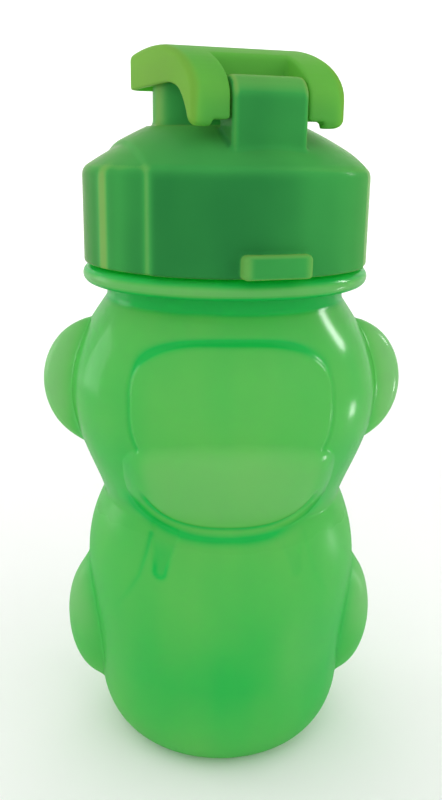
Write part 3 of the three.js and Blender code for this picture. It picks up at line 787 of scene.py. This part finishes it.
def lid_solid(p):
    """Signed distance to the lid, closed over the spout, before the cap is turned on the neck."""
    x, y, z = np.moveaxis(p, -1, 0)
    across = np.abs(x)
    past_side = np.maximum(across - LID_HALF + LID_CORNER, 0)
    plan = np.hypot(past_side, np.maximum(y - LID_BACK + LID_CORNER, 0)) - LID_CORNER
    edge = 0.7 + 0.9 * np.maximum(ramp(z, 158, 162), ramp(-y, 10, 16))
    bar = overlap(outline_distance(y, z, lid_side), overlap(plan, across - LID_HALF, 0.5), edge)
    room = rounded_block(p, (0, 6.2, 150), (15, 17.8, LID_CEILING - 150), 1.2)
    bar = carve(bar, room, 0.5)
    from_middle = np.hypot(x, y - SPOUT_BACK)
    boss = overlap(from_middle - BOSS_RADIUS, np.abs(z - BOSS_MIDDLE) - BOSS_HALF, 0.5)
    bar = merge(bar, boss, 0.6)
    bar = carve(bar, overlap(from_middle - STEM_HOLE, z - LID_CEILING, 0.2), 0.3)
    window = overlap(across - BLOCK_HALF - 0.4, y - WINDOW_BACK, 0.8)
    bar = carve(bar, window, 0.9)
    between_legs = overlap(overlap(across - LEGS_APART, y - WINDOW_BACK, 0.8), z - LEGS_TOP, 0.8)
    bar = carve(bar, between_legs, 0.7)
    past_edge = np.maximum(across - LID_HALF + TIP_ROUND, 0)
    tip = np.hypot(past_edge, np.maximum(LID_TIP + TIP_ROUND - z, 0)) - TIP_ROUND
    bar = overlap(bar, tip, 0.3)
    pin_room = overlap(np.hypot(y - PIN_Y, z - PIN_Z) - LID_PIN_HOLE, across - PIN_REACH, 0.2)
    return carve(bar, pin_room, 0.3)


lid_points, lid_faces = skin(lid_solid, (-18, -27.5, 146.5), (18, 28, 168), 0.42)
x, y, z = lid_points.T
# Painted shade on the lower front of the lid's arms, and painted light that turns the lid's side faces
# paler and yellower.
cheek_shade = ramp(-np.abs(x), -16.2, -13) * ramp(-y, 14, 18) * ramp(-z, -156, -150)
depth = 0.2 * cheek_shade - 0.11 * ramp(np.abs(x), 14, 16)
lid = make_piece("flip_lid_moulding", lid_points, lid_faces, CAP_TURN, depth)
lid.data.materials.append(
    moulded_plastic(
        "lid_polypropylene",
        pale=(0.23, 0.65, 0.105, 1),
        deep_and_shaded=(0.11, 0.50, 0.095, 1),
        thin_and_lit=(0.295, 0.50, 0.07, 1),
        lit=(0.32, 0.735, 0.11, 1),
        gloss=0.28,
        shine=0.005,
        glow=0.45,
        edge=0.1,
    )
)
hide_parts("flip_lid")
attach(lid, "lid")

# Lid seal: a soft white silicone disc with a plug that enters the spout.
# Its stem is pressed into the boss under the lid.
SEAL_BOTTOM = 156.5
FLANGE_TOP = 159.95
STEM_TOP = 162.35
STEM_RADIUS = 3
seal_half = np.vstack(
    [
        [(0, SEAL_BOTTOM), (10.6, SEAL_BOTTOM)],
        arc((11, 157.3), 0.8, -90, 0, 6),
        [(11.8, 158.4), (11.9, 158.65), (13.5, 158.65)],
        arc((13.5, 159.05), 0.4, -90, 90, 8)[1:],
        [(13.3, FLANGE_TOP), (3.2, FLANGE_TOP), (STEM_RADIUS, 160.15)],
        [(STEM_RADIUS, 161.95), (2.6, STEM_TOP), (0, STEM_TOP)],
    ]
)
seal_points, seal_faces = turned_ring(softened(seal_half, 0.12, lambda point: 0.35), 96)
seal = make_piece("lid_seal_plug", seal_points + (0, SPOUT_BACK, 0), seal_faces, CAP_TURN)
seal.data.materials.append(silicone)
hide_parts("lid_seal")
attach(seal, "lid")

# Studio: a plain pale sweep that rises behind the bottle, large soft lights and the camera
# at the photograph's angle. None of it belongs to the object.
sweep_side = np.vstack([[(-3.0, 0)], [(0.55, 0)], arc((0.55, 0.45), 0.45, -90, 0, 24), [(1.0, 2.4)]])
sweep_points = [(x, y, z) for y, z in sweep_side for x in (-3.0, 3.0)]
sweep_faces = [(2 * i, 2 * i + 1, 2 * i + 3, 2 * i + 2) for i in range(len(sweep_side) - 1)]
sweep = make_piece("studio_sweep", np.array(sweep_points) / MM, np.array(sweep_faces))
paper, wires, place = new_finish("pale_paper")
shade = noise(wires, place, 3, 2)
surface = wires.node(
    "BsdfPrincipled",
    {},
    {
        "Base Color": shade.blend((0.93, 0.93, 0.92, 1), (0.90, 0.90, 0.89, 1)),
        "Roughness": 0.9,
        "Specular IOR Level": 0.1,
    },
)
wires.node("OutputMaterial", {}, {"Surface": surface})
sweep.data.materials.append(paper)


def soft_light(name, place, target, size, power):
    """A rectangular soft box that faces a point."""
    lamp = bpy.data.lights.new(name, "AREA")
    lamp.shape = "RECTANGLE"
    lamp.size, lamp.size_y = size
    lamp.energy = power
    light = bpy.data.objects.new(name, lamp)
    light.location = place
    light.rotation_euler = (Vector(target) - Vector(place)).to_track_quat("-Z", "Y").to_euler()
    bpy.context.scene.collection.objects.link(light)
    return light


soft_light("left_backdrop", (-0.7, 0.45, 0.4), (-0.5, 1.0, 0.4), (0.5, 0.6), 2.5)
soft_light("right_backdrop", (0.7, 0.45, 0.4), (0.5, 1.0, 0.4), (0.5, 0.6), 2.5)
soft_light("right_key", (0.9, 0.31, 0.5), (0, 0, 0.1), (0.1, 0.24), 3.2).visible_diffuse = False
soft_light("right_fill", (0.55, -0.45, 0.45), (0, 0, 0.1), (0.5, 0.5), 0.4)
soft_light("left_window", (-0.74, 0.33, 0.12), (0, 0, 0.1), (0.3, 0.6), 1.8)
soft_light("low_glint", (0.257, 0.042, 0.025), (0.027, -0.025, 0.089), (0.012, 0.034), 0.07)

world = bpy.data.worlds.new("studio")
world.use_nodes = True
world.node_tree.nodes.clear()
wires = Wire(world.node_tree)
direction = wires.node("TexCoord", {}, {}, "Generated")
behind = wires.node("SeparateXYZ", {}, {0: direction}, "Y").between(-0.9, 0.3)
above = wires.node("SeparateXYZ", {}, {0: direction}, "Z").between(0.3, 1.0)
glow = wires.node("Background", {}, {"Strength": (1.36 + 0.06 * behind) * (1 - 0.15 * above)})
wires.node("OutputWorld", {}, {"Surface": glow})
bpy.context.scene.world = world
bpy.context.scene.view_settings.view_transform = "Standard"

camera = bpy.data.objects.new("camera", bpy.data.cameras.new("camera"))
camera.data.sensor_width = 36
camera.data.lens = 39.285
camera.data.clip_start = 0.01
camera.location = (-0.01287, -0.2046, 0.1437)
aim = Matrix.Rotation(math.radians(-3.47), 4, "Z")
tilt = Matrix.Rotation(math.radians(74), 4, "X")
roll = Matrix.Rotation(math.radians(0.84), 4, "Z")
camera.rotation_euler = (aim @ tilt @ roll).to_euler()
bpy.context.scene.collection.objects.link(camera)
bpy.context.scene.camera = camera
